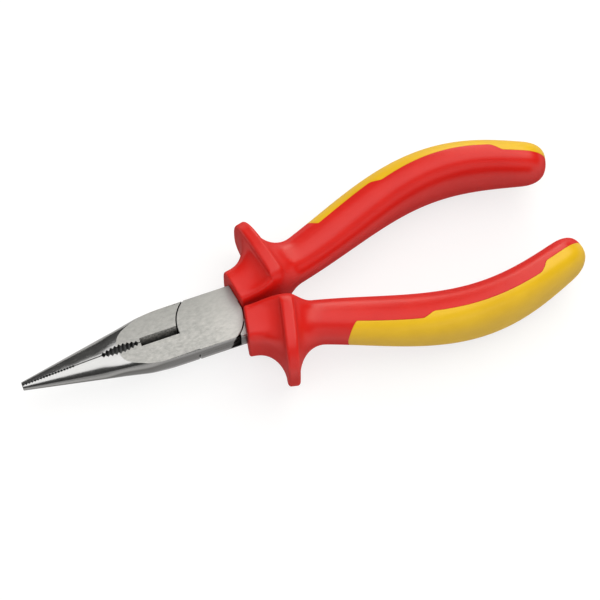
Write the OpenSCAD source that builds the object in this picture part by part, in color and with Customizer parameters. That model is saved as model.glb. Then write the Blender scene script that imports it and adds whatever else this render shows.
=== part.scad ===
// Insulated needle nose pliers with a side cutter, closed and lying on their back.
// X runs along the tool with the nose towards -X, Z is the pivot axis, and Z = 0 is the back of the head.

/* [Head] */
// Distance from the pivot axis to the jaw tips
nose_len = 54.5; // [52:0.5:58]
// Thickness of the head
head_t = 7.8; // [7.6:0.1:8.4]
// Half-width of the head between its parallel sides
head_half_w = 7.6; // [7.4:0.1:7.8]
// Radius of the round lap of each half
lap_r = 9.25; // [9.1:0.05:9.4]
// Gap between a lap and the shoulders around it
lap_gap = 0.25; // [0.15:0.05:0.3]
// Gap between the faces of the two laps
face_gap = 0.08; // [0.04:0.02:0.12]
// Width of the relief cut from the corner of each lap
relief_w = 1; // [0.8:0.1:2]
// Distance from the pivot axis to the far wall of the notch beside the lower tang
notch_x = 6.5; // [6.45:0.05:7]
// Height of that notch's floor above the back of the head
notch_floor = 0.6; // [0.4:0.1:2]

/* [Pivot] */
// Radius of the rivet's shank
rivet_r = 2.6; // [2.2:0.1:3]
// Radius of the rivet's countersunk heads
rivet_head_r = 3.9; // [3.6:0.1:4.4]
// Depth of a countersunk head
rivet_head_t = 1.3; // [1:0.1:1.6]
// Running clearance between the rivet and the turning half
running_gap = 0.04; // [0.02:0.01:0.08]

/* [Jaws] */
// Half-width of the closed jaws at the tip
tip_half_w = 1; // [0.9:0.1:1.4]
// Half-thickness of the jaws at the tip
tip_half_t = 1.1; // [0.9:0.1:1.5]
// Length of the nose that is thinner than the head
taper_len = 27; // [25:0.5:30]
// Half-width of the closed jaws where that taper ends
taper_half_w = 5.95; // [5.7:0.05:6.4]
// Gap between each jaw's grip face and the parting line
seam_gap = 0.04; // [0.02:0.01:0.08]
// Number of fine teeth on each jaw
fine_count = 18; // [12:1:20]
// Pitch of the fine teeth
fine_pitch = 0.85; // [0.7:0.05:0.9]
// Depth of the fine teeth
fine_depth = 0.34; // [0.15:0.01:0.35]
// Distance of the pipe grip from the tips
pipe_start = 23; // [22:0.5:23.5]
// Length of the pipe grip
pipe_len = 10.8; // [9:0.2:11]
// Depth of the pipe grip's hollow
pipe_depth = 0.8; // [0.5:0.05:1]
// Number of coarse teeth in the pipe grip
pipe_count = 9; // [6:1:10]
// Depth of the coarse teeth
pipe_tooth = 0.6; // [0.3:0.05:0.7]
// Distance of the cutter from the tips
cutter_start = 34.3; // [33.9:0.1:35.5]
// Height of each cutter bevel at the face of the head
cutter_bevel = 1.2; // [0.8:0.1:1.5]

/* [Grips] */
// Distance from the pivot axis to the ends of the grips
grip_end = 104.3; // [100:0.1:108]
// Distance from the pivot axis to the front lip of the grips
grip_start = 8.7; // [8.6:0.1:9.6]
// Distance from the pivot axis to the middle of the guards
guard_x = 20.2; // [19.8:0.1:22]
// Width of the guard's rim
rim_w = 3.8; // [3:0.1:4.5]
// Reach of the guard outwards from the handle's middle line
guard_reach = 16.7; // [14:0.1:17]
// Half-thickness of the guard
guard_half_t = 12.7; // [11:0.1:14]
// Reach of the front lip outwards from the handle's middle line
lip_reach = 6.2; // [5:0.1:6.6]
// Half-thickness of the front lip
lip_half_t = 8.4; // [7.5:0.1:9]
// Length of the hollow fillet in front of the guard
front_fillet = 7.5; // [6:0.5:8]
// Length of the hollow fillet behind the guard
rear_fillet = 8; // [5:0.5:10]
// Length of the smooth rise to the guard from the front, on the side that faces the other handle
swell_front = 11.5; // [10:0.5:11.5]
// Length of the smooth rise to the guard from behind, on that side
swell_rear = 6.5; // [5:0.5:8]
// Length of the rounded end of the grip
end_round = 7; // [6:0.5:10]
// Share of the grip's half-width that the inner layer fills under the outer layer
core_share = 0.7; // [0.65:0.01:0.75]
// Distance from the lip to the inner layer
core_setback = 2.5; // [2:0.5:4]
// Distance from the pivot axis to the start of the window in the outer layer
window_x = 36; // [34:0.1:37]
// Angle by which the window is rolled towards the back of the grip
window_roll = 3.5; // [0:0.5:6]

/* [Tangs] */
// Thickness of the tang inside the grip
tang_t = 6; // [5:0.2:6.4]
// Half-width of the tang at the head
tang_root_half_w = 2.7; // [2.4:0.1:2.8]
// Half-width of the tang at its end
tang_end_half_w = 1.9; // [1.5:0.1:2.2]
// Distance from the pivot axis to the end of the tang
tang_end = 90; // [80:1:94]
// Gap between the tang and the insulation
bond_gap = 0.1; // [0.05:0.05:0.2]

/* [Hidden] */
$fn = 64;
eps = 0.01;
steel = [0.74, 0.74, 0.72];
red = [0.82, 0.1, 0.11];
yellow = [0.87, 0.68, 0.1];

mid_z = head_t / 2;
recess_r = lap_r + lap_gap;
// Angle below the parting line at which the cut corner of a lap begins
relief_angle = 46;
relief_from = lap_r * [cos(relief_angle), -sin(relief_angle)];
relief_foot = [sqrt(lap_r * lap_r - head_half_w * head_half_w) - relief_w, -head_half_w];
nose_slope = (taper_half_w - tip_half_w) / taper_len;
// The full-thickness root of the tang stops just short of the grip's lip
root_end = grip_start - 0.5;

// Heights of the control points of three Bezier curves, evenly spaced from lip to end: the handle's
// middle line, and the half-width and half-thickness of the grip along it
middle_heights = [5.1, 8.6, 12.1, 32.4, 19.1, 13.6];
half_widths = [4.9, 5.8, 8.5, 6.2, 5];
half_thicknesses = [7.5, 7.8, 1.3, 16.1, 11.5, 7.6];
// Roundness of a section, from 2 for an ellipse upwards
grip_power = 2.4;
guard_power = 3;
lip_power = 4;
end_power = 2.7;
// Roundness of the lip and the guard on the side that faces the other handle
lip_inner_power = 6;
guard_inner_power = 3.6;
// Reach of the guard inwards from the handle's middle line
guard_hump = 6.4;
// Cosines, counted towards the other handle, between which the guard's rim turns into the smooth rise
swell_turn = [-0.2, 0.95];

// Half-angle of the window around the section: behind its rounded front, before and after each of two jogs,
// and at the end of the grip
window_angles = [69, 68, 81, 76, 90.5, 89.5];
window_front = 2.4;
window_power = 1.5;
jogs = [[55.5, 58.2], [89.3, 92.3]];

fillet_steps = 6;
window_sides = 10;
rest_sides = 22;

function choose(n, k) = k == 0 ? 1 : choose(n, k - 1) * (n - k + 1) / k;
function bezier(heights, t) =
    let (n = len(heights) - 1)
    [for (k = [0:n]) choose(n, k) * pow(t, k) * pow(1 - t, n - k)] * heights;
function differences(list) = [for (k = [1:len(list) - 1]) list[k] - list[k - 1]];
function share(x) = (x - grip_start) / (grip_end - grip_start);
function spread(from, to, count) = [for (i = [0:count - 1]) from + (to - from) * i / count];
function signed_pow(value, power) = sign(value) * pow(abs(value), power);

// Middle line of the upper handle, and its outward normal
function middle(x) = bezier(middle_heights, share(x));
function slope(x) =
    bezier(differences(middle_heights), share(x)) * (len(middle_heights) - 1) / (grip_end - grip_start);
function outward(x) = [-slope(x), 1] / norm([slope(x), 1]);
function beside(x, offset) = [x, middle(x)] + outward(x) * offset;

// Stations along the grip: [x, share of the guard's height, share left by the rounded end]
rim_front = guard_x - rim_w / 2;
rim_rear = guard_x + rim_w / 2;
round_x = grip_end - end_round;
function fillet_angles() = [for (i = [0:fillet_steps]) 90 * i / fillet_steps];
corner_x = window_x + window_front;
body_x = concat(
    spread(rim_rear + rear_fillet, window_x, 3),
    [for (q = [0:15:75]) corner_x - window_front * pow(cos(q), 2 / window_power)],
    spread(corner_x, jogs[0][0], 4),
    spread(jogs[0][0], jogs[0][1], 1),
    spread(jogs[0][1], jogs[1][0], 8),
    spread(jogs[1][0], jogs[1][1], 1),
    [jogs[1][1]]);
stations = concat(
    [[grip_start, 0, 1]],
    [for (q = fillet_angles()) [rim_front - front_fillet * (1 - sin(q)), 1 - cos(q), 1]],
    [for (i = [fillet_steps:-1:1], q = [90 * i / fillet_steps])
        [rim_rear + rear_fillet * (1 - sin(q)), 1 - cos(q), 1]],
    [for (x = body_x) [x, 0, 1]],
    [for (q = [0:15:75]) [round_x + end_round * pow(sin(q), 2 / end_power), 0, pow(cos(q), 2 / end_power)]]);

function blend(from, to, f) = from + (to - from) * f;
function window_edge(x) =
    let (t = min(1, max(0, (corner_x - x) / window_front)))
    let (places = concat([corner_x], jogs[0], jogs[1], [grip_end]))
    pow(1 - pow(t, window_power), 1 / window_power)
    * lookup(x, [for (i = [0:len(places) - 1]) [places[i], window_angles[i]]]);

function smooth(t) = let (u = min(1, max(0, t))) u * u * (3 - 2 * u);
function swell(x) = (1 + cos(180 * min(1, abs(x - guard_x) / (x < guard_x ? swell_front : swell_rear)))) / 2;

// Point of the grip's surface at a station and an angle from the middle of the window, drawn in towards the
// middle line by a factor
function grip_point(st, angle, factor) =
    let (
        x = st[0],
        across = cos(angle - window_roll),
        rise = sin(angle - window_roll),
        lip = x < guard_x,
        turn = smooth((-across - swell_turn[0]) / (swell_turn[1] - swell_turn[0])),
        guard = blend(st[1], swell(x), turn),
        reach = bezier(half_widths, share(x)),
        thick = lip ? lip_half_t : bezier(half_thicknesses, share(x)),
        out = across > 0
            ? blend(lip ? lip_reach : reach, guard_reach, guard)
            : blend(reach, guard_hump, guard),
        up = blend(thick, guard_half_t, guard),
        power = across > 0
            ? blend(lip ? lip_power : grip_power, guard_power, guard)
            : blend(lip ? lip_inner_power : grip_power, guard_inner_power, guard),
        plan = beside(x, factor * st[2] * out * signed_pow(across, 2 / power)))
    [plan[0], plan[1], mid_z + factor * st[2] * up * signed_pow(rise, 2 / power)];

// Stations in front of the window, up to its first point, and those behind that point
closed = [for (st = stations) if (st[0] <= window_x) st];
open = [for (st = stations) if (st[0] > window_x) st];
hollow = [for (st = closed) if (st[0] > grip_start + core_setback) st];

function ring(st, factor) = [for (j = [0:rest_sides - 1]) grip_point(st, 360 * j / rest_sides, factor)];
function rest_arc(st, factor) =
    let (edge = window_edge(st[0]))
    [for (j = [0:rest_sides]) grip_point(st, edge + (360 - 2 * edge) * j / rest_sides, factor)];
function window_arc(st) =
    let (edge = window_edge(st[0]))
    [for (j = [0:window_sides]) grip_point(st, edge * (2 * j / window_sides - 1), 1)];

// Rows of point numbers: rings close on their first point, arcs don't
function ring_rows(from, count) =
    [for (i = [0:count - 1]) [for (j = [0:rest_sides]) from + i * rest_sides + j % rest_sides]];
function arc_rows(from, count, sides) =
    [for (i = [0:count - 1]) [for (j = [0:sides]) from + i * (sides + 1) + j]];
function reversed(list) = [for (i = [len(list) - 1:-1:0]) list[i]];
function strip(a, b) =
    [for (j = [0:len(a) - 2]) each [[a[j], b[j], b[j + 1]], [a[j], b[j + 1], a[j + 1]]]];
function skin(rows) = [for (i = [0:len(rows) - 2]) each strip(rows[i], rows[i + 1])];
function fan(row, pole) = [for (j = [0:len(row) - 2]) [row[j], pole, row[j + 1]]];
function whole(faces) = [for (f = faces) if (f[0] != f[1] && f[1] != f[2] && f[2] != f[0]) f];
function without_last(list) = [for (i = [0:len(list) - 2]) list[i]];
function last(list) = list[len(list) - 1];

pole = [grip_end, middle(grip_end), mid_z];

// Outer layer: the grip's surface and the hollow under it, joined along the edge of the window
module shell_body() {
    inner_from = len(closed) * rest_sides;
    outer_arcs_from = inner_from + len(hollow) * rest_sides;
    inner_arcs_from = outer_arcs_from + len(open) * (rest_sides + 1);
    pole_at = inner_arcs_from + len(open) * (rest_sides + 1);
    outer = ring_rows(0, len(closed));
    inner = ring_rows(inner_from, len(hollow));
    outer_arcs = concat([last(outer)], arc_rows(outer_arcs_from, len(open), rest_sides));
    inner_arcs = concat([last(inner)], arc_rows(inner_arcs_from, len(open), rest_sides));
    sections = [for (i = [0:len(open)]) concat(outer_arcs[i], reversed(inner_arcs[i]), [outer_arcs[i][0]])];
    polyhedron(
        concat(
            [for (st = closed) each ring(st, 1)],
            [for (st = hollow) each ring(st, core_share)],
            [for (st = open) each rest_arc(st, 1)],
            [for (st = open) each rest_arc(st, core_share)],
            [pole]),
        whole(concat(
            [without_last(outer[0])],
            skin(outer),
            [without_last(reversed(inner[0]))],
            skin([for (row = inner) reversed(row)]),
            skin(sections),
            fan(last(sections), pole_at))));
}

// Inner layer: fills the hollow and comes out to the grip's surface in the window
module core_body() {
    tip_at = len(hollow) * rest_sides;
    window_from = tip_at + 1;
    rest_from = window_from + len(open) * (window_sides + 1);
    pole_at = rest_from + len(open) * (rest_sides + 1);
    inner = ring_rows(0, len(hollow));
    window_rows = concat(
        [[for (j = [0:window_sides]) tip_at]],
        arc_rows(window_from, len(open), window_sides));
    rest_rows = concat([last(inner)], arc_rows(rest_from, len(open), rest_sides));
    sections = [for (i = [0:len(open)]) concat(window_rows[i], rest_rows[i], [window_rows[i][0]])];
    polyhedron(
        concat(
            [for (st = hollow) each ring(st, core_share)],
            [grip_point(last(closed), 0, 1)],
            [for (st = open) each window_arc(st)],
            [for (st = open) each rest_arc(st, core_share)],
            [pole]),
        whole(concat(
            [without_last(inner[0])],
            skin(inner),
            skin(sections),
            fan(last(sections), pole_at))));
}

// Outline of the tang, widened by a gap
module tang_outline(gap) {
    reach = tang_end + gap;
    path = concat(spread(root_end - 4, reach, 16), [reach]);
    function half_w(x) =
        gap + blend(tang_root_half_w, tang_end_half_w, (x - grip_start) / (tang_end - grip_start));
    polygon(concat(
        [for (x = path) beside(x, half_w(x))],
        [for (i = [len(path) - 1:-1:0]) beside(path[i], -half_w(path[i]))]));
}

module tang(gap = 0) {
    translate([0, 0, mid_z - tang_t / 2 - gap])
        linear_extrude(tang_t + 2 * gap) tang_outline(gap);
}

// Teeth of one jaw as points along its grip face, from the tip to the lap
function fine_teeth() =
    [for (i = [0:fine_count - 1], h = [0, 1])
        [-nose_len + (i + h / 2) * fine_pitch, -seam_gap - h * fine_depth]];
function pipe_teeth() =
    [for (i = [0:pipe_count - 1], h = [0, 1])
        let (f = (i + h / 2) / pipe_count)
        [-nose_len + pipe_start + f * pipe_len, -seam_gap - pipe_depth * sin(180 * f) - h * pipe_tooth]];

module jaw_outline() {
    polygon(concat(
        fine_teeth(),
        [[-nose_len + fine_count * fine_pitch, -seam_gap]],
        pipe_teeth(),
        [[-nose_len + pipe_start + pipe_len, -seam_gap],
         [0, -seam_gap], [0, -head_half_w], [-nose_len, -head_half_w]]));
}

// Round nose, flattened in side view down to the tip
module nose_form() {
    intersection() {
        union() {
            translate([-nose_len, 0, mid_z]) rotate([0, 90, 0])
                cylinder(h = nose_len, r1 = tip_half_w, r2 = tip_half_w + nose_slope * nose_len);
            translate([-1, -2 * head_half_w, -1]) cube([2 * lap_r, 4 * head_half_w, head_t + 2]);
        }
        rotate([90, 0, 0]) translate([0, 0, -2 * head_half_w]) linear_extrude(4 * head_half_w)
            polygon([
                [-nose_len, mid_z - tip_half_t], [taper_len - nose_len, 0], [2 * lap_r, 0],
                [2 * lap_r, head_t], [taper_len - nose_len, head_t], [-nose_len, mid_z + tip_half_t]]);
    }
}

// V groove of the cutter in one face of the jaw, leaving the cutting edge at mid-thickness
module cutter_groove() {
    rotate([90, 0, 90]) translate([0, 0, cutter_start - nose_len]) linear_extrude(nose_len - cutter_start)
        polygon([[0, mid_z], [-cutter_bevel - seam_gap, head_t + eps], [1, head_t + eps], [1, mid_z]]);
}

// Full-thickness root between the lap and the grip
module root_outline() {
    across = outward(root_end);
    inner = beside(root_end, -tang_root_half_w);
    polygon([[0, 0], inner, inner + across * (head_half_w - inner[1]) / across[1], [0, head_half_w]]);
}

// Round recess that takes the other half's lap
module recess() {
    translate([0, 0, -1]) cylinder(r = recess_r, h = mid_z + face_gap / 2 + 1);
}

// Corner cut off along the relief, as far as a wall at right
module relief_outline(right) {
    run = relief_from - relief_foot;
    polygon([
        relief_foot + run * (right - relief_foot[0]) / run[0],
        relief_foot - run / 2,
        [right, -2 * head_half_w]]);
}

// Lap outline: a disc between the head's sides, with one corner cut back
module lap_outline() {
    difference() {
        intersection() {
            circle(r = lap_r);
            square([2 * lap_r, 2 * head_half_w], center = true);
        }
        relief_outline(2 * lap_r);
    }
}

// Notch between the back lap and the lower tang's root
module heel_notch() {
    translate([0, 0, notch_floor]) linear_extrude(head_t) relief_outline(notch_x);
}

// One forging: lower jaw, front lap and upper tang
module forging() {
    difference() {
        union() {
            intersection() {
                difference() {
                    linear_extrude(head_t) jaw_outline();
                    cutter_groove();
                    translate([0, 0, head_t]) mirror([0, 0, 1]) cutter_groove();
                }
                nose_form();
            }
            linear_extrude(head_t) root_outline();
            tang();
        }
        recess();
    }
    translate([0, 0, mid_z + face_gap / 2]) linear_extrude(mid_z - face_gap / 2) lap_outline();
}

module rivet_form(gap) {
    cylinder(r = rivet_r + gap, h = head_t);
    cylinder(r1 = rivet_head_r + gap, r2 = rivet_r + gap, h = rivet_head_t);
    translate([0, 0, head_t - rivet_head_t])
        cylinder(r1 = rivet_r + gap, r2 = rivet_head_r + gap, h = rivet_head_t);
}

// Turns a front piece over to make the matching back piece
module turned() {
    translate([0, 0, head_t]) rotate([180, 0, 0]) children();
}

module shell() {
    resize([0, 0, 0]) difference() {
        shell_body();
        tang(bond_gap);
    }
}

module core() {
    resize([0, 0, 0]) difference() {
        core_body();
        tang(bond_gap);
    }
}

module front_half() {
    color(steel) difference() {
        forging();
        rivet_form(running_gap);
    }
}

module back_half() {
    color(steel) difference() {
        turned() forging();
        heel_notch();
        rivet_form(eps);
    }
}

module pivot_rivet() {
    color(steel) rivet_form(0);
}

module upper_core() {
    color(yellow) core();
}

module lower_core() {
    color(yellow) turned() core();
}

module upper_shell() {
    color(red) shell();
}

module lower_shell() {
    color(red) turned() shell();
}

front_half();
back_half();
pivot_rivet();
upper_core();
lower_core();
upper_shell();
lower_shell();
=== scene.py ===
import math

import bmesh
import bpy
import numpy as np
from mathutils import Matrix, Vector


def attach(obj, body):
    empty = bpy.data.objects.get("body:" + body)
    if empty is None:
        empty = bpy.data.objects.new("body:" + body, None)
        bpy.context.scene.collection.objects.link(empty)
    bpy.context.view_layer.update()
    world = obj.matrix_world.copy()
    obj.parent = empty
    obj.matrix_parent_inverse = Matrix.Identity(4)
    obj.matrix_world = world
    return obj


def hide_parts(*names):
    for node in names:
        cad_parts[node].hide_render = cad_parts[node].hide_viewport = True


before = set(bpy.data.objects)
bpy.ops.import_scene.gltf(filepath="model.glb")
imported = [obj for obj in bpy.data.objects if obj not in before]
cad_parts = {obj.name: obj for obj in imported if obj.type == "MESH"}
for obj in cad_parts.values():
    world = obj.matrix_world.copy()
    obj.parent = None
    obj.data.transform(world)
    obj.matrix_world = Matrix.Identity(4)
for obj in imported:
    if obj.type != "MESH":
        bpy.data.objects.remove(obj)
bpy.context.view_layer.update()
print("frame loaded:", sorted(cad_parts))

# sizes are in millimetres, and a mesh is scaled to metres when it is made
mm = 0.001
headThick = 7.8
midZ = headThick / 2
# middle line shared by the steel tang and the grip: Bezier heights evenly spaced from lip to end
handleLine = {"start": 8.7, "end": 104.29, "heights": [5.1, 8.6, 12.1, 32.4, 19.1, 13.6]}
meshCare = {"merge": 2e-7, "sliver": 1e-7}  # metres within which points are merged and slivers taken out
sharpAngle = {"steel": 28, "plastic": 40}  # degrees past which an edge stays sharp


def bezier(heights, t):
    # sum of height times Bernstein weight n!/(k!(n-k)!) t^k (1-t)^(n-k)
    n = len(heights) - 1
    weights = [math.comb(n, k) * t**k * (1 - t) ** (n - k) for k in range(n + 1)]
    return sum(height * weight for height, weight in zip(heights, weights))


def smoothStep(x, low, high):
    # 3t^2 - 2t^3 between low and high
    t = np.clip((x - low) / (high - low), 0, 1)
    return t * t * (3 - 2 * t)


def mixed(a, b, share):
    return a + (b - a) * share


def middleLine(x):
    # height of the handle's middle line over x, and its outward unit normal
    heights = handleLine["heights"]
    length = handleLine["end"] - handleLine["start"]
    t = (x - handleLine["start"]) / length
    slope = bezier(np.diff(heights), t) * (len(heights) - 1) / length
    long = np.sqrt(1 + slope**2)
    return bezier(heights, t), -slope / long, 1 / long


def beside(x, offset):
    # plan point at an offset from the middle line
    height, normalX, normalY = middleLine(x)
    return np.stack([x + normalX * offset, height + normalY * offset], -1)


# Meshes


def newObject(name, points, faces, materials):
    mesh = bpy.data.meshes.new(name)
    mesh.from_pydata(points * mm, [], faces)
    for material in materials:
        mesh.materials.append(material)
    work = bmesh.new()
    work.from_mesh(mesh)
    bmesh.ops.remove_doubles(work, verts=work.verts, dist=meshCare["merge"])
    bmesh.ops.dissolve_degenerate(work, edges=work.edges, dist=meshCare["sliver"])
    bmesh.ops.recalc_face_normals(work, faces=work.faces)
    work.to_mesh(mesh)
    work.free()
    piece = bpy.data.objects.new(name, mesh)
    bpy.context.scene.collection.objects.link(piece)
    return piece


def shade(piece, angle):
    # smooth, with sharp edges past an angle and wherever two finishes meet
    mesh = piece.data
    mesh.shade_smooth()
    mesh.set_sharp_from_angle(angle=math.radians(angle))
    loopEdge = np.empty(len(mesh.loops), int)
    mesh.loops.foreach_get("edge_index", loopEdge)
    corners = np.empty(len(mesh.polygons), int)
    mesh.polygons.foreach_get("loop_total", corners)
    finish = np.empty(len(mesh.polygons), int)
    mesh.polygons.foreach_get("material_index", finish)
    finish = np.repeat(finish, corners)
    lowest = np.full(len(mesh.edges), len(mesh.materials))
    highest = np.full(len(mesh.edges), -1)
    np.minimum.at(lowest, loopEdge, finish)
    np.maximum.at(highest, loopEdge, finish)
    sharp = np.empty(len(mesh.edges), bool)
    mesh.edges.foreach_get("use_edge_sharp", sharp)
    mesh.edges.foreach_set("use_edge_sharp", sharp | (lowest != highest))


def gridFaces(rows, cols, first=0):
    # quads of a grid of rows by cols points, numbered row by row
    start = first + np.arange(rows - 1)[:, None] * cols + np.arange(cols - 1)[None, :]
    return np.stack([start, start + cols, start + cols + 1, start + 1], -1).reshape(-1, 4)


def gridObject(name, grids, material):
    # several grids of points as one object
    points, faces, first = [], [], 0
    for grid in grids:
        rows, cols = grid.shape[:2]
        points.append(grid.reshape(-1, 3))
        faces.append(gridFaces(rows, cols, first))
        first += rows * cols
    return newObject(name, np.concatenate(points), np.concatenate(faces).tolist(), [material])


def closedTube(name, rings, material):
    # a grid of closed rings, flat at both ends
    rows, cols = rings.shape[:2]
    wrapped = np.concatenate([rings, rings[:, :1]], 1)
    start = np.arange(cols)
    ends = [start.tolist(), (start + (rows - 1) * (cols + 1)).tolist()]
    return newObject(name, wrapped.reshape(-1, 3), gridFaces(rows, cols + 1).tolist() + ends, [material])


# Materials

noiseSpan = (0.3, 0.7)  # most of a noise's values lie between these


def newMaterial(name, **values):
    material = bpy.data.materials.new(name)
    material.use_nodes = True
    shader = material.node_tree.nodes["Principled BSDF"]
    for socket, value in values.items():
        shader.inputs[socket.replace("_", " ")].default_value = value
    return material, material.node_tree, shader


def objectNoise(tree, scale, detail, rough=0.55, stretch=(1, 1, 1)):
    coords = tree.nodes.new("ShaderNodeTexCoord")
    mapping = tree.nodes.new("ShaderNodeMapping")
    mapping.inputs["Scale"].default_value = stretch
    noise = tree.nodes.new("ShaderNodeTexNoise")
    noise.inputs["Scale"].default_value = scale
    noise.inputs["Detail"].default_value = detail
    noise.inputs["Roughness"].default_value = rough
    tree.links.new(coords.outputs["Object"], mapping.inputs["Vector"])
    tree.links.new(mapping.outputs["Vector"], noise.inputs["Vector"])
    return noise.outputs["Fac"]


def mapped(tree, value, low, high, span=noiseSpan):
    # low to high as the value goes through the span
    node = tree.nodes.new("ShaderNodeMapRange")
    for socket, number in zip(("From Min", "From Max", "To Min", "To Max"), (*span, low, high)):
        node.inputs[socket].default_value = number
    tree.links.new(value, node.inputs["Value"])
    return node.outputs["Result"]


def calculated(tree, operation, *values):
    # Math node on numbers or on the outputs of other nodes
    node = tree.nodes.new("ShaderNodeMath")
    node.operation = operation
    for socket, value in zip(node.inputs, values):
        if isinstance(value, (int, float)):
            socket.default_value = value
        else:
            tree.links.new(value, socket)
    return node.outputs["Value"]


def tinted(tree, shader, value, colour, under=None):
    # mixes a colour over another one, or over what already reaches the shader
    mix = tree.nodes.new("ShaderNodeMix")
    mix.data_type = "RGBA"
    if under is None:
        tree.links.new(shader.inputs["Base Color"].links[0].from_socket, mix.inputs["A"])
    else:
        mix.inputs["A"].default_value = (*under, 1)
    mix.inputs["B"].default_value = (*colour, 1)
    tree.links.new(value, mix.inputs["Factor"])
    tree.links.new(mix.outputs["Result"], shader.inputs["Base Color"])


def along(tree, output, axis):
    # one axis of the surface's place ("Object") or direction ("Normal"), in the piece's own frame
    coords = tree.nodes.new("ShaderNodeTexCoord")
    split = tree.nodes.new("ShaderNodeSeparateXYZ")
    tree.links.new(coords.outputs[output], split.inputs["Vector"])
    return split.outputs[axis]


def fromMiddle(tree):
    # distance above or below the middle of the head
    shift = calculated(tree, "SUBTRACT", along(tree, "Object", "Z"), midZ * mm)
    return calculated(tree, "ABSOLUTE", shift)


def bumped(tree, shader, value, strength, distance):
    bump = tree.nodes.new("ShaderNodeBump")
    bump.inputs["Strength"].default_value = strength
    bump.inputs["Distance"].default_value = distance
    tree.links.new(value, bump.inputs["Height"])
    tree.links.new(bump.outputs["Normal"], shader.inputs["Normal"])


plastic = {
    "specular": 0.43,
    "cloud": {"scale": 120, "detail": 3},
    "grain": {"scale": 5200, "detail": 3, "rough": 0.6},
    "uneven": (-0.06, 0.08),  # of the roughness, with the grain
    "slant": (0.32, 0.7),  # Layer Weight's Facing, between which the gloss goes dull
    "bump": 0.16,
    "bumpDistance": 0.00006,
}
redFinish = {
    "dark": (0.675, 0.011, 0.007),
    "light": (0.725, 0.015, 0.009),
    "roughness": 0.32,
    "dulling": 0.42,
}
yellowFinish = {
    "dark": (0.82, 0.485, 0.006),
    "light": (0.88, 0.535, 0.009),
    "roughness": 0.36,
    "dulling": 0.2,
}


def mouldedPlastic(name, dark, light, roughness, dulling):
    # satin moulding: faint clouds of colour, fine grain in roughness and bump, duller where seen at a slant
    material, tree, shader = newMaterial(name, Specular_IOR_Level=plastic["specular"])
    cloud = objectNoise(tree, **plastic["cloud"])
    grain = objectNoise(tree, **plastic["grain"])
    tinted(tree, shader, mapped(tree, cloud, 0, 1), light, dark)
    smoother, coarser = plastic["uneven"]
    satin = mapped(tree, grain, roughness + smoother, roughness + coarser)
    slant = tree.nodes.new("ShaderNodeLayerWeight")
    dull = mapped(tree, slant.outputs["Facing"], 0, dulling, plastic["slant"])
    tree.links.new(calculated(tree, "ADD", satin, dull), shader.inputs["Roughness"])
    bumped(tree, shader, grain, plastic["bump"], plastic["bumpDistance"])
    return material


steel = {
    "scratch": {"scale": 1500, "detail": 6, "rough": 0.7},
    "uneven": (-0.07, 0.09),  # of the roughness, with the scratches
    "bumpDistance": 0.00004,
}


def groundSteel(name, dark, light, roughness, stretch, bump, metal=1.0):
    # ground metal: fine scratches, long where the stretch is small, in colour, roughness and bump
    material, tree, shader = newMaterial(name, Metallic=metal)
    scratch = objectNoise(tree, **steel["scratch"], stretch=stretch)
    tinted(tree, shader, mapped(tree, scratch, 0, 1), light, dark)
    smoother, coarser = steel["uneven"]
    uneven = mapped(tree, scratch, roughness + smoother, roughness + coarser)
    tree.links.new(uneven, shader.inputs["Roughness"])
    bumped(tree, shader, scratch, bump, steel["bumpDistance"])
    return material, tree, shader


flatFinish = {
    "dark": (0.34, 0.34, 0.33),
    "light": (0.62, 0.615, 0.6),
    "roughness": 0.5,
    "stretch": (0.45, 0.9, 1),
    "bump": 0.22,
}
flatPaintedLight = [  # painted light and shade: a painted reflection lighter towards the handles, then painted shade darker towards the upper edge; spans in metres
    {"axis": "X", "span": (-0.002, 0.008), "share": 0.5, "colour": (0.74, 0.73, 0.71)},
    {"axis": "Y", "span": (-0.003, 0.0075), "share": 0.6, "colour": (0.32, 0.32, 0.31)},
]


def flatGround():
    # flats of the head: scratches along the tool, and painted light and shade that change across it
    material, tree, shader = groundSteel("flatSteel", **flatFinish)
    for tone in flatPaintedLight:
        place = along(tree, "Object", tone["axis"])
        tinted(tree, shader, mapped(tree, place, 0, tone["share"], tone["span"]), tone["colour"])
    return material


noseFinish = {
    "dark": (0.56, 0.555, 0.545),
    "light": (0.63, 0.625, 0.615),
    "roughness": 0.19,
    "stretch": (0.1, 2, 2),
    "bump": 0.08,
}
# painted shade and painted dark reflection on the nose's sides and walls
nosePaintedShade = {
    "slope": (0.75, 0.95),  # upward share of the normal, between which the ridge turns to the side
    "slopeShadeColour": (0.29, 0.285, 0.278),
    "wall": (0.05, 0.3),  # and between which the side counts as a wall
    "wallSpan": (0.0019, 0.0039),  # metres from the head's middle, between which the wall gets lighter
    "wallShadeColour": (0.05, 0.046, 0.04),
}


def polished():
    # nose and sides: bright along the ridges, with painted shade darker at the sides and painted shade
    # darkest along the middle of the walls
    material, tree, shader = groundSteel("noseSteel", **noseFinish)
    rise = calculated(tree, "ABSOLUTE", along(tree, "Normal", "Z"))
    tinted(tree, shader, mapped(tree, rise, 1, 0, nosePaintedShade["slope"]), nosePaintedShade["slopeShadeColour"])
    wall = mapped(tree, rise, 1, 0, nosePaintedShade["wall"])
    inner = mapped(tree, fromMiddle(tree), 1, 0, nosePaintedShade["wallSpan"])
    tinted(tree, shader, calculated(tree, "MULTIPLY", wall, inner), nosePaintedShade["wallShadeColour"])
    return material


cutterFinish = {
    "dark": (0.02, 0.02, 0.019),
    "light": (0.62, 0.61, 0.58),
    "roughness": 0.5,
    "stretch": (1, 1, 1),
    "bump": 0.8,
    "metal": 0.3,
}
cutterPaintedShade = {"span": (0.0002, 0.003), "colour": (0.012, 0.012, 0.012)}  # painted shade, darkest deep in the cutter's slot; span from the middle, in metres


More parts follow.
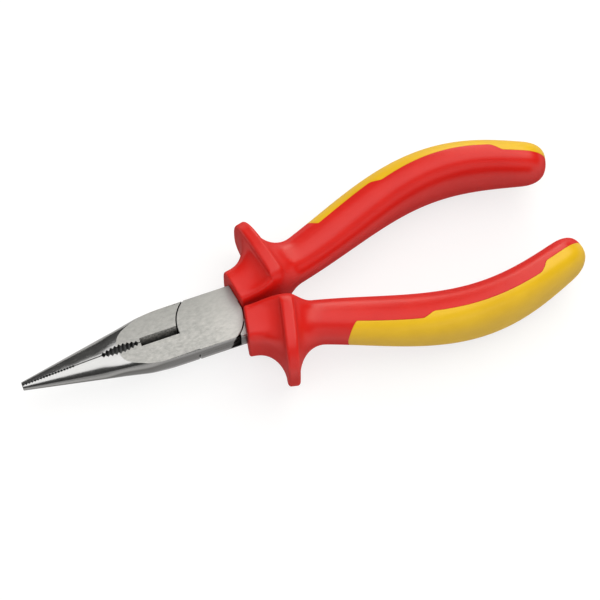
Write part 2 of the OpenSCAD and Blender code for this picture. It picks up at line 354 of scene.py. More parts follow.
def cutterGround():
    # bevels of the cutter: coarse gritty grinding near the face, with painted shade darker towards the
    # cutting edge
    material, tree, shader = groundSteel("cutterSteel", **cutterFinish)
    tinted(tree, shader, mapped(tree, fromMiddle(tree), 1, 0, cutterPaintedShade["span"]), cutterPaintedShade["colour"])
    return material


toothFinish = {
    "dark": (0.02, 0.02, 0.02),
    "light": (0.045, 0.045, 0.043),
    "roughness": 0.42,
    "stretch": (1, 1, 0.2),
    "bump": 0.3,
}
jointFinish = {
    "dark": (0.006, 0.006, 0.006),
    "light": (0.014, 0.013, 0.012),
    "roughness": 0.85,
    "specular": 0.1,
    "mottle": {"scale": 900, "detail": 4},
}


def darkJoint():
    # near-black walls of the gaps round the joint, faintly mottled
    material, tree, shader = newMaterial(
        "jointSteel", Roughness=jointFinish["roughness"], Specular_IOR_Level=jointFinish["specular"])
    mottle = mapped(tree, objectNoise(tree, **jointFinish["mottle"]), 0, 1)
    tinted(tree, shader, mottle, jointFinish["light"], jointFinish["dark"])
    return material


redPlastic = mouldedPlastic("redInsulation", **redFinish)
yellowPlastic = mouldedPlastic("yellowInsulation", **yellowFinish)
flatSteel = flatGround()
noseSteel = polished()
toothSteel = groundSteel("toothSteel", **toothFinish)[0]
cutterSteel = cutterGround()
jointSteel = darkJoint()
print("materials made")


# Steel halves


def insetOutline(points, distance):
    # every corner moved inwards along the mitre of its two edges, for outlines drawn anticlockwise
    edge = np.roll(points, -1, 0) - points
    normal = np.stack([-edge[:, 1], edge[:, 0]], -1) / np.linalg.norm(edge, axis=1, keepdims=True)
    before = np.roll(normal, 1, 0)
    mitre = (normal + before) / (1 + (normal * before).sum(1, keepdims=True))
    return points + mitre * distance


def prism(name, outline, levels, finishes, toSpace=None):
    # one outline, or one for each level, carried up through levels of (height, inset), flat at both ends;
    # finishes of top, walls and bottom, or one for all
    outline = np.asarray(outline, float)
    count = outline.shape[-2]
    rings = []
    for ring, (z, inset) in zip(np.broadcast_to(outline, (len(levels), count, 2)), levels):
        rings.append(np.column_stack([insetOutline(ring, inset), np.full(count, z)]))
    points = np.concatenate(rings)
    closed = np.arange(len(levels))[:, None] * count + (np.arange(count + 1) % count)[None, :]
    walls = np.stack([closed[:-1, :-1], closed[:-1, 1:], closed[1:, 1:], closed[1:, :-1]], -1)
    ends = [list(range(count))[::-1], list(range(len(points) - count, len(points)))]
    if toSpace is not None:
        points = points @ np.asarray(toSpace, float)
    made = newObject(name, points, walls.reshape(-1, 4).tolist() + ends, finishes)
    if len(finishes) > 1:
        normal = np.empty(len(made.data.polygons) * 3)
        made.data.polygons.foreach_get("normal", normal)
        rise = normal[2::3]
        steep = 0.5  # upward share of the normal past which a face is top or bottom
        finish = np.where(rise > steep, 0, np.where(rise < -steep, 2, 1))
        made.data.polygons.foreach_set("material_index", finish)
    return made


alongX = [[0, 1, 0], [0, 0, 1], [1, 0, 0]]  # outline in y and z, carried along x


def combine(target, tool, operation):
    step = target.modifiers.new("step", "BOOLEAN")
    step.operation = operation
    step.object = tool
    step.solver = "EXACT"
    step.material_mode = "TRANSFER"
    graph = bpy.context.evaluated_depsgraph_get()
    made = bpy.data.meshes.new_from_object(target.evaluated_get(graph))
    target.modifiers.remove(step)
    target.data = made
    bpy.data.objects.remove(tool)


head = {
    "halfWidth": 7.6,
    "lapRadius": 9.25,
    "lapGap": 0.25,
    "faceGap": 0.08,
    "reliefWidth": 0.5,
    "reliefAngle": 46,
    "reliefLean": 1.5,  # how much further left the relief reaches at the bottom of the head than at the top
    "notchX": 6.5,
    "notchFloor": 0.6,
    "nick": 0.48,  # corners broken where the laps meet the jaws at the head's sides
    "rootEnd": 8.6,
    "edge": 0.14,  # broken edge of the lap and the root
    "edgeRound": 0.4,  # rounded edge along the head's sides
    "edgeSteps": 6,
    "arcSteps": 72,
    "circleSteps": 160,
}
cutting = {
    "run": (-60, 20),  # along x, of the tool that shapes the head's faces and sides
    "past": 1,  # how far most tools stand past the steel
    "nearPast": 0.1,  # and those of the cutter, the relief and the lap's nick past the faces
    "overlap": 0.01,  # how far below the lap the tool of its relief starts
}
nose = {
    "length": 54.5,
    "end": 1.0,  # where the form stops, inside the joint
    "tipHalfWidth": 1.18,
    "tipHalfThick": 1.1,
    "widthSlope": 0.195,
    "widthBlend": 0.12,  # softness of the bend where the cone meets the head's sides
    "drawnIn": 0.42,  # half-width given up where the section turns square
    "thickSlope": 0.1004,
    "flatRise": 0.07,  # slope that is added past the front of the flats
    "flatSoft": 0.3,
    "swellX": -22,
    "swellRate": 0.03,  # of the growth past the flats, which leaves the head's corners full
    "powers": (2.1, 3.6),  # of the section, before and after it turns square
    "square": (-33, -25.5),  # where that turn begins and ends
    "tipRound": 0.2,
    "tipRows": 7,
    "rows": 110,
    "columns": 144,
}


def noseHalfThick(x):
    # even taper from the tip; d past the front of the flats r (sqrt(d^2 + s^2) - s) more;
    # d past the start of the swell k d^2 more
    taper = nose["tipHalfThick"] + nose["thickSlope"] * (x + nose["length"])
    front = (midZ - nose["tipHalfThick"]) / nose["thickSlope"] - nose["length"]
    rise = np.sqrt(np.maximum(0, x - front) ** 2 + nose["flatSoft"] ** 2) - nose["flatSoft"]
    swell = np.maximum(0, x - nose["swellX"]) ** 2
    return taper + nose["flatRise"] * rise + nose["swellRate"] * swell


def noseHalfWidth(x):
    # even taper from the tip that bends softly into the head's side w:
    # smooth minimum w - s ln(1 + e^((w - taper) / s))
    wide, soft = head["halfWidth"], nose["widthBlend"]
    taper = nose["tipHalfWidth"] + nose["widthSlope"] * (x + nose["length"])
    taper = taper - nose["drawnIn"] * smoothStep(x, *nose["square"])
    return wide - soft * np.log1p(np.exp((wide - taper) / soft))


def noseForm():
    # nose |y/a|^p + |z/b|^p = 1, with half-width a, half-thickness b and power p growing from the tip
    tip, small = -nose["length"], nose["tipRound"]
    quarter = np.radians(np.linspace(0, 90, nose["tipRows"]))
    roundX = tip + small * (1 - np.sin(quarter))[::-1]
    x = np.concatenate([roundX, np.linspace(tip + small, nose["end"], nose["rows"])[1:]])[:, None]
    shrink = np.zeros(x.shape)
    shrink[: len(quarter), 0] = small * (1 - np.cos(quarter))[::-1]
    a = noseHalfWidth(x) - shrink
    b = noseHalfThick(x) - shrink
    power = 2 / mixed(*nose["powers"], smoothStep(x, *nose["square"]))
    angle = np.linspace(0, 2 * math.pi, nose["columns"], endpoint=False)[None, :]
    c, s = np.cos(angle), np.sin(angle)
    y = a * np.sign(c) * np.abs(c) ** power
    z = midZ + b * np.sign(s) * np.abs(s) ** power
    return closedTube("noseForm", np.stack([np.broadcast_to(x, y.shape), y, z], -1), noseSteel)


jaw = {
    "seamGap": 0.04,
    "seamBevel": (0.13, 0.2),  # width and depth of the bevel along the grip face's edges
    "seamPast": 0.5,  # how far the bevel's tool stands past the nose
    "seamRows": 60,
    "fineCount": 18,
    "finePitch": 0.85,
    "fineDepth": 0.34,
    "pipeStart": 23,
    "pipeLength": 10.8,
    "pipeDepth": 0.8,
    "pipeCount": 9,
    "pipeTooth": 0.6,
    "cutterStart": 34.3,
    "cutterEnd": 0.5,
    "cutterBevel": 1.2,
}


def jawOutline():
    # grip face of the lower jaw: fine teeth, plain stretch, coarse teeth on an arch sin(pi t),
    # plain to the pivot
    tip, face = -nose["length"], -jaw["seamGap"]
    half = np.arange(2 * jaw["fineCount"])
    fine = np.stack([tip + half / 2 * jaw["finePitch"], face - half % 2 * jaw["fineDepth"]], -1)
    half = np.arange(2 * jaw["pipeCount"])
    share = half / 2 / jaw["pipeCount"]
    arch = jaw["pipeDepth"] * np.sin(math.pi * share) + half % 2 * jaw["pipeTooth"]
    coarse = np.stack([tip + jaw["pipeStart"] + share * jaw["pipeLength"], face - arch], -1)
    fineEnd = [tip + jaw["fineCount"] * jaw["finePitch"], face]
    pipeEnd = [tip + jaw["pipeStart"] + jaw["pipeLength"], face]
    left, low = tip - cutting["past"], -2 * head["halfWidth"]
    rest = [pipeEnd, [0, face], [0, low], [left, low], [left, face]]
    return np.concatenate([fine, [fineEnd], coarse, rest])[::-1]


def seamBevel(side):
    # narrow wedge that follows the nose's ridge, its point below the surface on the parting line
    width, depth = jaw["seamBevel"]
    past = jaw["seamPast"]
    x = np.linspace(-nose["length"] - cutting["past"], -head["lapRadius"], jaw["seamRows"])[:, None]
    ridge = np.minimum(noseHalfThick(x), midZ)
    y = np.array([0, past, past, -width / depth * (depth + past)])
    rise = np.array([-depth, -depth, past, past])
    wedge = np.broadcast_arrays(x, y, midZ + side * (ridge + rise))
    return closedTube("seamBevel", np.stack(wedge, -1), toothSteel)


def lapOutline(radius):
    # disc cut off at the head's sides: two arcs, each to the angle whose sine is half-width over radius
    corner = math.asin(head["halfWidth"] / radius)
    right = np.linspace(-corner, corner, head["arcSteps"])
    angle = np.concatenate([right, right + math.pi])
    return radius * np.stack([np.cos(angle), np.sin(angle)], -1)


def reliefForm(name, right, low, high):
    # lower right corner cut off along a slanting line, as far as a wall at right;
    # the line leans to the left as it goes down
    radius, wide = head["lapRadius"], head["halfWidth"]
    turn = math.radians(head["reliefAngle"])
    outlines = []
    for z in (low, high):
        lean = head["reliefLean"] * (1 - z / headThick)
        top = radius * np.array([math.cos(turn), -math.sin(turn)])
        foot = np.array([math.sqrt(radius**2 - wide**2) - head["reliefWidth"] - lean, -wide])
        run = top - foot
        outlines.append([foot + run * (right - foot[0]) / run[0], foot - run / 2, [right, -2 * wide]])
    return prism(name, outlines, [(low, 0), (high, 0)], [jointSteel])


def nickOutline(side):
    # small diamond on the head's side where the left edge of the lap comes out
    radius, wide, half = head["lapRadius"] + head["lapGap"] / 2, head["halfWidth"], head["nick"]
    centre = np.array([-math.sqrt(radius**2 - wide**2), side * (wide + half / 3)])
    return centre + half * np.array([[1, 0], [0, 1], [-1, 0], [0, -1]])


def discOutline(radius, count):
    # circle with no corner on the x or y axis, where edges of the forging meet it
    angle = (np.arange(count) + 0.5) * 2 * math.pi / count
    return radius * np.stack([np.cos(angle), np.sin(angle)], -1)


def roundedBox(halfWidth, height, radius):
    # rectangle standing on z = 0 with round corners, each a quarter of a circle
    turn = np.radians(np.linspace(0, 90, head["edgeSteps"]))
    middle = height / 2
    corners = []
    for k, (sideY, sideZ) in enumerate([(1, 1), (-1, 1), (-1, -1), (1, -1)]):
        angle = turn + math.pi / 2 * k
        y = sideY * (halfWidth - radius) + radius * np.cos(angle)
        z = middle + sideZ * (middle - radius) + radius * np.sin(angle)
        corners.append(np.stack([y, z], -1))
    return np.concatenate(corners)


rivet = {"radius": 2.6, "headRadius": 3.9, "headThick": 1.3, "gap": 0.015, "steps": 96}
tang = {"thick": 6, "rootHalf": 2.7, "endHalf": 1.9, "end": 90, "inRoot": 4, "rows": 40}


def rivetForm(name, gap):
    # turned profile: countersunk head, shank, countersunk head
    shank = rivet["headRadius"] - rivet["radius"] - gap
    flare = rivet["headThick"]
    levels = [(0, -gap), (flare, shank), (headThick - flare, shank), (headThick, -gap)]
    return prism(name, discOutline(rivet["headRadius"], rivet["steps"]), levels, [flatSteel])


def tangOutline():
    # even taper along the handle's middle line
    start = handleLine["start"]
    x = np.linspace(head["rootEnd"] - tang["inRoot"], tang["end"], tang["rows"])
    half = mixed(tang["rootHalf"], tang["endHalf"], (x - start) / (tang["end"] - start))
    return np.concatenate([beside(x, -half), beside(x, half)[::-1]])


def rootOutline():
    # from the pivot to the end of the root, square to the handle's middle line there
    end = np.array(head["rootEnd"])
    inner = beside(end, -tang["rootHalf"])
    across = np.array(middleLine(end)[1:])
    outer = inner + across * (head["halfWidth"] - inner[1]) / across[1]
    return np.array([[0, 0], inner, outer, [0, head["halfWidth"]]])


def steelHalf(name):
    # one forging: lower jaw, front lap and upper tang
    wide, edge, past = head["halfWidth"], head["edge"], cutting["past"]
    ground = [flatSteel, noseSteel, flatSteel]
    split = midZ + head["faceGap"] / 2
    half = noseForm()
    box = roundedBox(wide, headThick, head["edgeRound"])
    combine(half, prism("faces", box, [(x, 0) for x in cutting["run"]], ground, alongX), "INTERSECT")
    through = [(-past, 0), (headThick + past, 0)]
    combine(half, prism("teeth", jawOutline(), through, [toothSteel]), "INTERSECT")

    bevel = jaw["cutterBevel"] + jaw["seamGap"]
    run = [(jaw["cutterStart"] - nose["length"], 0), (jaw["cutterEnd"], 0)]
    low, high = -cutting["nearPast"], headThick + cutting["nearPast"]
    upper = [[0, midZ], [past, midZ], [past, high], [-bevel, high]]
    lower = [[-bevel, low], [past, low], [past, midZ], [0, midZ]]
    for outline in (upper, lower):
        combine(half, prism("cutterBevel", outline, run, [cutterSteel], alongX), "DIFFERENCE")
    for side in (1, -1):
        combine(half, seamBevel(side), "DIFFERENCE")

    broken = [(0, edge), (edge, 0), (headThick - edge, 0), (headThick, edge)]
    combine(half, prism("root", rootOutline(), broken, ground), "UNION")
    core = [(midZ - tang["thick"] / 2, 0), (midZ + tang["thick"] / 2, 0)]
    combine(half, prism("tang", tangOutline(), core, ground), "UNION")

    recess = discOutline(head["lapRadius"] + head["lapGap"], head["circleSteps"])
    combine(half, prism("recess", recess, [(-past, 0), (split, 0)], [jointSteel]), "DIFFERENCE")
    lapLevels = [(split, 0), (headThick - edge, 0), (headThick, edge)]
    lapFinishes = [flatSteel, noseSteel, jointSteel]
    combine(half, prism("lap", lapOutline(head["lapRadius"]), lapLevels, lapFinishes), "UNION")
    relief = reliefForm("relief", 2 * head["lapRadius"], split - cutting["overlap"], high)
    combine(half, relief, "DIFFERENCE")
    combine(half, prism("lapNick", nickOutline(1), [(midZ, 0), (high, 0)], [noseSteel]), "DIFFERENCE")
    combine(half, prism("jawNick", nickOutline(-1), [(-past, 0), (split, 0)], [noseSteel]), "DIFFERENCE")
    combine(half, rivetForm("hole", rivet["gap"]), "DIFFERENCE")
    half.name = name
    shade(half, sharpAngle["steel"])
    return half


def turnedCopy(piece, name):
    # half a turn about the line along x through the middle of the head: y to -y, z to thickness - z
    mesh = piece.data.copy()
    points = np.empty(len(mesh.vertices) * 3)
    mesh.vertices.foreach_get("co", points)
    points = points.reshape(-1, 3) * [1, -1, -1] + [0, 0, headThick * mm]
    mesh.vertices.foreach_set("co", points.ravel())
    mesh.update()
    copy = bpy.data.objects.new(name, mesh)
    bpy.context.scene.collection.objects.link(copy)
    return copy


frontHalf = steelHalf("frontHalf")
backHalf = turnedCopy(frontHalf, "backHalf")
notch = reliefForm("notch", head["notchX"], head["notchFloor"], headThick + cutting["past"])
combine(backHalf, notch, "DIFFERENCE")
shade(backHalf, sharpAngle["steel"])
pivotRivet = rivetForm("pivotRivet", 0)
shade(pivotRivet, sharpAngle["steel"])
print("steel made:", len(frontHalf.data.polygons), "faces a half")


# Grips

grip = {
    "halfWidth": [4.9, 5.8, 8.38, 6.2, 5],  # Bezier heights along the handle
    "halfThick": [7.5, 7.8, 1.3, 16.1, 11.5, 7.6],
    "gripPower": 2.4,
    "guardPower": 3,
    "lipPower": 4,
    "innerPower": (6, 3.6),  # of the lip and of the guard on the side that faces the other handle
    "endPower": 2.7,
    "guardX": 20.2,
    "rimWidth": 3.8,
    "rimRound": 1.0,
    "humpRound": 0.45,
    "guardReach": 16.66,
    "guardHump": 6.4,
    "swell": (11.5, 6.5),  # length of the smooth rise to the guard on its inner side, before and behind
    "swellTurn": (-0.2, 0.95),  # cosines, towards the other handle, between which the guard turns into it
    "rimFade": (-0.1, 0.45),  # and between which the rim's corners fade
    "guardHalfThick": 12.65,
    "lipReach": 6.2,
    "lipHalfThick": 8.4,
    "lipRound": 0.6,
    "frontFillet": 7.5,
    "rearFillet": 8,
    "endRound": 7,
    "windowX": 36,
    "windowFront": 2.4,
    "windowPower": 1.5,
    "windowRoll": 3.5,
    "windowAngles": [69, 68, 81, 76, 90.5, 89.5],  # behind the front, before and after each jog, at the end
    "jogs": [[55.5, 58.2], [89.3, 92.3]],
    "jogRound": 0.5,
    "coreStart": 11.2,
    "coreShare": 0.72,
    "hollowShare": 0.74,
    "seamRound": 0.12,
    "coreInset": 0.3,  # degrees that the inner layer stays clear of the window's edge
}
gripSteps = {  # points on each stretch of the grip, along it and round it
    "lipFace": 5,
    "quarter": 15,
    "neck": 6,
    "rim": 6,
    "toWindow": 8,
    "windowFront": 26,
    "runs": [18, 19, 30, 19, 5],  # from the window's front to the end: plain and jog by turns
    "end": 30,
    "jogMean": 9,  # samples whose mean rounds the jogs
    "rest": 44,
    "window": 30,
    "betweenRows": 5,  # on the window's edge, for the distance to it
}
nearTip = np.array([1, 0.7, 0.45, 0.3, 0.2, 0.12, 0.06, 0])  # millimetres before the window's tip
nearEdge = np.array([0, 0.25, 0.5, 0.8, 1.2, 1.8, 2.8])  # degrees from the window's edge


def windowEdge(x):
    # half-angle of the window: superellipse front, then straight runs and ramps,
    # averaged so that the jogs are round
    corner = grip["windowX"] + grip["windowFront"]
    t = np.clip((corner - x) / grip["windowFront"], 0, 1)
    front = (1 - t ** grip["windowPower"]) ** (1 / grip["windowPower"])
    places = [corner, *grip["jogs"][0], *grip["jogs"][1], handleLine["end"]]
    around = np.linspace(-grip["jogRound"], grip["jogRound"], gripSteps["jogMean"])
    runs = np.mean([np.interp(x + step, places, grip["windowAngles"]) for step in around], 0)
    return front * runs


def gripSurface(rows, angle, factor):
    # middle line plus outward normal times reach |cos|^(2/p), and height times |sin|^(2/p), for rows of
    # (x, share of the guard, share left by the rounded ends, drop of the guard's rim); towards the other
    # handle the rim turns into a smooth rise, half of 1 + cos
    x, guard, cap, drop = (rows[:, i : i + 1] for i in range(4))
    t = (x - handleLine["start"]) / (handleLine["end"] - handleLine["start"])
    lip = x < grip["guardX"]
    turn = np.radians(angle - grip["windowRoll"])
    c, s = np.cos(turn), np.sin(turn)
    swell = np.clip(np.abs(x - grip["guardX"]) / np.where(lip, *grip["swell"]), 0, 1)
    guard = mixed(guard, (1 + np.cos(math.pi * swell)) / 2, smoothStep(-c, *grip["swellTurn"]))
    drop = drop * (1 - smoothStep(-c, *grip["rimFade"]))
    reach = bezier(grip["halfWidth"], t)
    outer = mixed(np.where(lip, grip["lipReach"], reach), grip["guardReach"] - drop, guard)
    inner = mixed(reach, grip["guardHump"] - drop * grip["humpRound"], guard)
    thick = np.where(lip, grip["lipHalfThick"], bezier(grip["halfThick"], t))
    up = mixed(thick, grip["guardHalfThick"] - drop, guard)
    power = mixed(np.where(lip, grip["lipPower"], grip["gripPower"]), grip["guardPower"], guard)
    lipInner, guardInner = grip["innerPower"]
    innerPower = mixed(np.where(lip, lipInner, grip["gripPower"]), guardInner, guard)
    power = np.where(c > 0, power, innerPower)
    across = factor * cap * np.where(c > 0, outer, inner) * np.sign(c) * np.abs(c) ** (2 / power)
    rise = factor * cap * up * np.sign(s) * np.abs(s) ** (2 / power)
    height, normalX, normalY = middleLine(x)
    return np.stack([x + normalX * across, height + normalY * across, midZ + rise], -1)


def gripRow(x, guard=0.0, cap=1.0, drop=0.0):
    # rows as gripSurface reads them
    return np.stack(np.broadcast_arrays(x, guard, cap, drop), -1)


def guardRows():
    # stations from the lip's flat front over the guard: quarter circles at the edges, straight between
    quarter = np.radians(np.linspace(0, 90, gripSteps["quarter"]))
    sin, cos = np.sin(quarter), np.cos(quarter)
    start, small, corner = handleLine["start"], grip["lipRound"], grip["rimRound"]
    rimFront = grip["guardX"] - grip["rimWidth"] / 2
    rimRear = grip["guardX"] + grip["rimWidth"] / 2
    neck = np.linspace(start + small, rimFront - grip["frontFillet"], gripSteps["neck"])[1:-1]
    rim = np.linspace(rimFront + corner, rimRear - corner, gripSteps["rim"])[1:-1]
    return np.concatenate([
        gripRow(start, cap=np.linspace(0, 1, gripSteps["lipFace"])[:-1]),
        gripRow(start + small * (1 - cos), cap=1 - small / grip["lipReach"] * (1 - sin)),
        gripRow(neck),
        gripRow(rimFront - grip["frontFillet"] * (1 - sin), 1 - cos, drop=corner),
        gripRow(rimFront + corner * (1 - cos), 1.0, drop=corner * (1 - sin))[1:],
        gripRow(rim, 1.0),
        gripRow(rimRear - corner * (1 - cos), 1.0, drop=corner * (1 - sin))[::-1],
        gripRow(rimRear + grip["rearFillet"] * (1 - sin), 1 - cos, drop=corner)[::-1][1:]])


def handleRows():
    # stations from behind the guard to the end, close together at the window's front and at its jogs;
    # the end is a superellipse
    windowX, windowEnd = grip["windowX"], grip["windowX"] + grip["windowFront"]
    guardEnd = grip["guardX"] + grip["rimWidth"] / 2 + grip["rearFillet"]
    toWindow = np.linspace(guardEnd, windowX - nearTip[0], gripSteps["toWindow"])[1:]
    turn = np.radians(np.linspace(0, 90, gripSteps["windowFront"]))[1:]
    front = windowEnd - grip["windowFront"] * np.cos(turn) ** (2 / grip["windowPower"])
    soft = 2 * grip["jogRound"]
    roundX = handleLine["end"] - grip["endRound"]
    stops = [windowEnd, *(np.array(grip["jogs"]) + [-soft, soft]).ravel(), roundX]
    runs = [np.linspace(a, b, count)[1:] for a, b, count in zip(stops, stops[1:], gripSteps["runs"])]
    straight = np.concatenate([toWindow, windowX - nearTip[1:], front, *runs])[:-1]
    power = 2 / grip["endPower"]
    turn = np.radians(np.linspace(0, 90, gripSteps["end"]))
    end = gripRow(roundX + grip["endRound"] * np.sin(turn) ** power, cap=np.cos(turn) ** power)
    end[-1, 2] = 0
    return np.concatenate([gripRow(straight), end])


def restAngles(edge):
    # angles from one edge of the window round the back to the other, close together at both edges
    half = 180 - edge[:, None] - nearEdge[-1]
    steps = np.linspace(0, 1, gripSteps["rest"])[None, 1:]
    first = np.concatenate([edge[:, None] + nearEdge, edge[:, None] + nearEdge[-1] + half * steps], 1)
    return np.concatenate([first, 360 - first[:, ::-1][:, 1:]], 1)


def windowAngles(edge):
    # angles across the window, close together at both edges and closer still where it is narrow
    near = nearEdge * np.minimum(1, edge / (3 * nearEdge[-1]))[:, None]
    steps = np.linspace(0, 1, gripSteps["window"])[None, 1:]
    left = -edge[:, None] + near
    span = -2 * left[:, -1:]
    return np.concatenate([left, left[:, -1:] + span * steps[:, :-1], -left[:, ::-1]], 1)


def distanceTo(points, line, blocks=40):
    # shortest distance from each point to a line of points, a block at a time
    flat = points.reshape(-1, 3)
    shortest = []
    for block in np.array_split(flat, blocks):
        shortest.append(np.sqrt(((block[:, None] - line[None]) ** 2).sum(-1).min(1)))
    return np.concatenate(shortest).reshape(points.shape[:2])


def rolledIn(rows, points, line, radius):
    # surface drops by r - sqrt(r^2 - (r - d)^2) within r of the window's edge, towards the middle line
    away = np.maximum(0, radius - distanceTo(points, line))
    drop = radius - np.sqrt(np.maximum(0, radius**2 - away**2))
    x = rows[:, 0]
    centre = np.stack([x, middleLine(x)[0], np.full_like(x, midZ)], -1)[:, None]
    leastReach = 0.5  # so that nothing is divided by zero where points lie on the middle line
    reach = np.maximum(np.linalg.norm(points - centre, axis=-1), leastReach)
    return centre + (points - centre) * (1 - drop / reach)[..., None]


def makeGrip(prefix):
    # red shell with a hollow and an open window; yellow core that lies in the hollow and fills the window
    rows = np.concatenate([guardRows(), handleRows()])
    tip = int(np.argmin(np.abs(rows[:, 0] - grip["windowX"]) + rows[:, 1]))
    edge = np.where(np.arange(len(rows)) <= tip, 0, windowEdge(rows[:, 0]))
    openRows, openEdge = rows[tip:], edge[tip:]
    pairs = gripSurface(openRows, np.stack([openEdge, -openEdge], 1), 1.0)
    shares = np.linspace(0, 1, gripSteps["betweenRows"])[:-1]
    between = [mixed(pairs[:-1], pairs[1:], share) for share in shares]
    line = np.concatenate([*between, pairs[-1:]]).reshape(-1, 3)

    outer = rolledIn(rows, gripSurface(rows, restAngles(edge), 1.0), line, grip["seamRound"])
    deep = rows[:, 0] > grip["coreStart"]
    coreFront = [[grip["coreStart"], 0, cap, 0] for cap in (0, 1)]
    hollowRows = np.concatenate([coreFront, rows[deep]])
    hollowEdge = np.concatenate([np.zeros(len(coreFront)), edge[deep]])
    hollow = gripSurface(hollowRows, restAngles(hollowEdge), grip["hollowShare"])
    hollowTip = len(hollowRows) - len(openRows)
    lips = [np.stack([outer[tip:, side], hollow[hollowTip:, side]], 1) for side in (0, -1)]
    shell = gridObject(prefix + "Shell", [outer, hollow, *lips], redPlastic)

    coreEdge = np.maximum(0, openEdge - grip["coreInset"])
    window = rolledIn(openRows, gripSurface(openRows, windowAngles(coreEdge), 1.0), line, grip["seamRound"])
    insideEdge = np.concatenate([hollowEdge[:hollowTip], coreEdge])
    inside = gripSurface(hollowRows, restAngles(insideEdge), grip["coreShare"])
    walls = [np.stack([window[:, side], inside[hollowTip:, far]], 1) for side, far in ((0, -1), (-1, 0))]
    core = gridObject(prefix + "Core", [window, inside, *walls], yellowPlastic)
    for piece in (shell, core):
        shade(piece, sharpAngle["plastic"])
    return shell, core


upperShell, upperCore = makeGrip("upper")
lowerShell = turnedCopy(upperShell, "lowerShell")
lowerCore = turnedCopy(upperCore, "lowerCore")
print("grips made:", len(upperShell.data.polygons), "and", len(upperCore.data.polygons), "faces")

for piece, node, body, slot in (
    (frontHalf, "front_half", "front_lever", "steel"),
    (upperCore, "upper_core", "front_lever", "inner_insulation"),
    (upperShell, "upper_shell", "front_lever", "outer_insulation"),
    (backHalf, "back_half", "back_lever", "steel"),
    (lowerCore, "lower_core", "back_lever", "inner_insulation"),
    (lowerShell, "lower_shell", "back_lever", "outer_insulation"),
    (pivotRivet, "pivot_rivet", "back_lever", "steel"),
):
    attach(piece, body)
    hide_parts(node)
print("pieces ride on their levers")


# Camera, floor and light

camera = {
    "azimuth": -19.66,
    "elevation": 69.5,
    "lens": 200,
    "sensor": 36,
    "frame": 165.5,  # width of the picture at the tool
    "pivotOffset": (24.75, 6.55),  # from the pivot to the picture's centre, right and up
    "clip": (0.01, 20),  # metres
}
floor = {
    "half": 3000,
    "below": 0.05,  # gap under the guards
    "grey": 0.3,
    "roughness": 0.9,
    "glow": 0.74,  # seen by the camera and in reflections only
}
worldGrey = 0.075
warm = (1, 0.97, 0.88)
toolPlace = (0.03, 0, 0)  # where the lights at the sides point, in metres
lights = {  # places and sizes in metres, power in watts
    "overhead": {"place": (0, 0.01, 0.8), "target": (0, 0.01, 0), "size": (0.9, 0.68), "power": 2.5},
    "key": {"place": (0.66, 0.78, 0.8), "target": (0.66, 0.78, 0), "size": (0.92, 2.12), "power": 15.1,
            "tone": warm},
    "back": {"place": (0.42, 1.0, 0.3), "target": toolPlace, "size": (0.5, 0.5), "power": 2.2,
             "tone": warm},
    "frontFill": {"place": (0.05, -1.0, 0.6), "target": toolPlace, "size": (1.2, 0.6), "power": 3.7,
                  "reflected": False},
    "lowFront": {"place": (0.05, -1.0, 0.21), "target": toolPlace, "size": (1.8, 0.44), "power": 1.75},
    "leftFill": {"place": (-0.9, 0.1, 0.6), "target": toolPlace, "size": (1.0, 0.6), "power": 2.5,
                 "reflected": False},
}


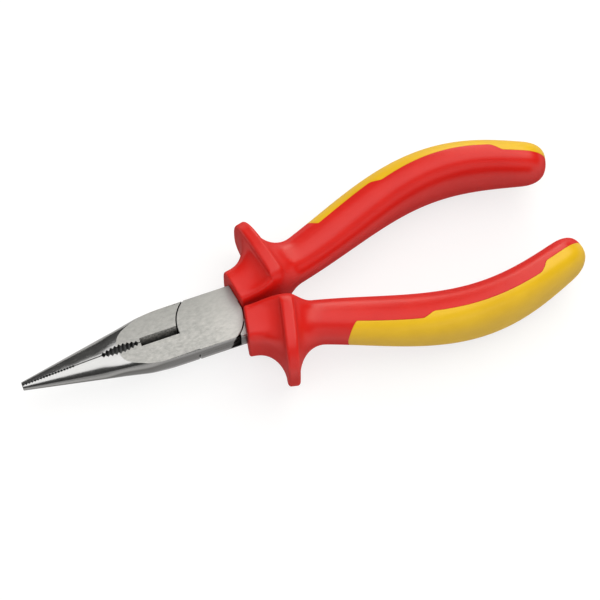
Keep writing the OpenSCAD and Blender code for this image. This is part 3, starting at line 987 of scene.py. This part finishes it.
def makeCamera():
    a, e = math.radians(camera["azimuth"]), math.radians(camera["elevation"])
    back = np.array([math.sin(a) * math.cos(e), -math.cos(a) * math.cos(e), math.sin(e)])
    right = np.array([math.cos(a), math.sin(a), 0])
    up = np.cross(back, right)
    aim = np.array([0, 0, midZ]) + right * camera["pivotOffset"][0] + up * camera["pivotOffset"][1]
    far = camera["frame"] * camera["lens"] / camera["sensor"]
    data = bpy.data.cameras.new("camera")
    data.lens = camera["lens"]
    data.sensor_width = camera["sensor"]
    data.clip_start, data.clip_end = camera["clip"]
    view = bpy.data.objects.new("camera", data)
    view.location = (aim + back * far) * mm
    view.rotation_mode = "QUATERNION"
    view.rotation_quaternion = Vector(-back).to_track_quat("-Z", "Y")
    bpy.context.scene.collection.objects.link(view)
    bpy.context.scene.camera = view


def softBox(name, place, target, size, power, reflected=True, tone=(1, 1, 1)):
    data = bpy.data.lights.new(name, "AREA")
    data.shape = "RECTANGLE"
    data.size, data.size_y = size
    data.energy = power
    data.color = tone
    box = bpy.data.objects.new(name, data)
    box.location = place
    box.rotation_mode = "QUATERNION"
    box.rotation_quaternion = (Vector(target) - Vector(place)).to_track_quat("-Z", "Y")
    box.visible_camera = False
    box.visible_glossy = reflected
    bpy.context.scene.collection.objects.link(box)


def seenDirectly(tree):
    # 1 for what the camera sees, also in metal and glass
    path = tree.nodes.new("ShaderNodeLightPath")
    seen = path.outputs["Is Camera Ray"]
    for kind in ("Is Glossy Ray", "Is Transmission Ray"):
        seen = calculated(tree, "MAXIMUM", seen, path.outputs[kind])
    return seen


def makeFloor():
    low = midZ - grip["guardHalfThick"] - floor["below"]
    half, grey = floor["half"], floor["grey"]
    corners = np.array([[-half, -half, low], [half, -half, low], [half, half, low], [-half, half, low]])
    material, tree, shader = newMaterial(
        "paleFloor", Base_Color=(grey, grey, grey, 1), Roughness=floor["roughness"])
    glow = tree.nodes.new("ShaderNodeEmission")
    tree.links.new(calculated(tree, "MULTIPLY", seenDirectly(tree), floor["glow"]), glow.inputs["Strength"])
    both = tree.nodes.new("ShaderNodeAddShader")
    tree.links.new(shader.outputs["BSDF"], both.inputs[0])
    tree.links.new(glow.outputs["Emission"], both.inputs[1])
    tree.links.new(both.outputs["Shader"], tree.nodes["Material Output"].inputs["Surface"])
    newObject("floor", corners, [[0, 1, 2, 3]], [material])


def makeWorld():
    world = bpy.data.worlds.new("studio")
    world.use_nodes = True
    world.node_tree.nodes["Background"].inputs["Color"].default_value = (worldGrey, worldGrey, worldGrey, 1)
    bpy.context.scene.world = world


makeCamera()
makeFloor()
makeWorld()
for name, light in lights.items():
    softBox(name, **light)
bpy.context.scene.view_settings.view_transform = "Standard"
print("camera, floor and light made")
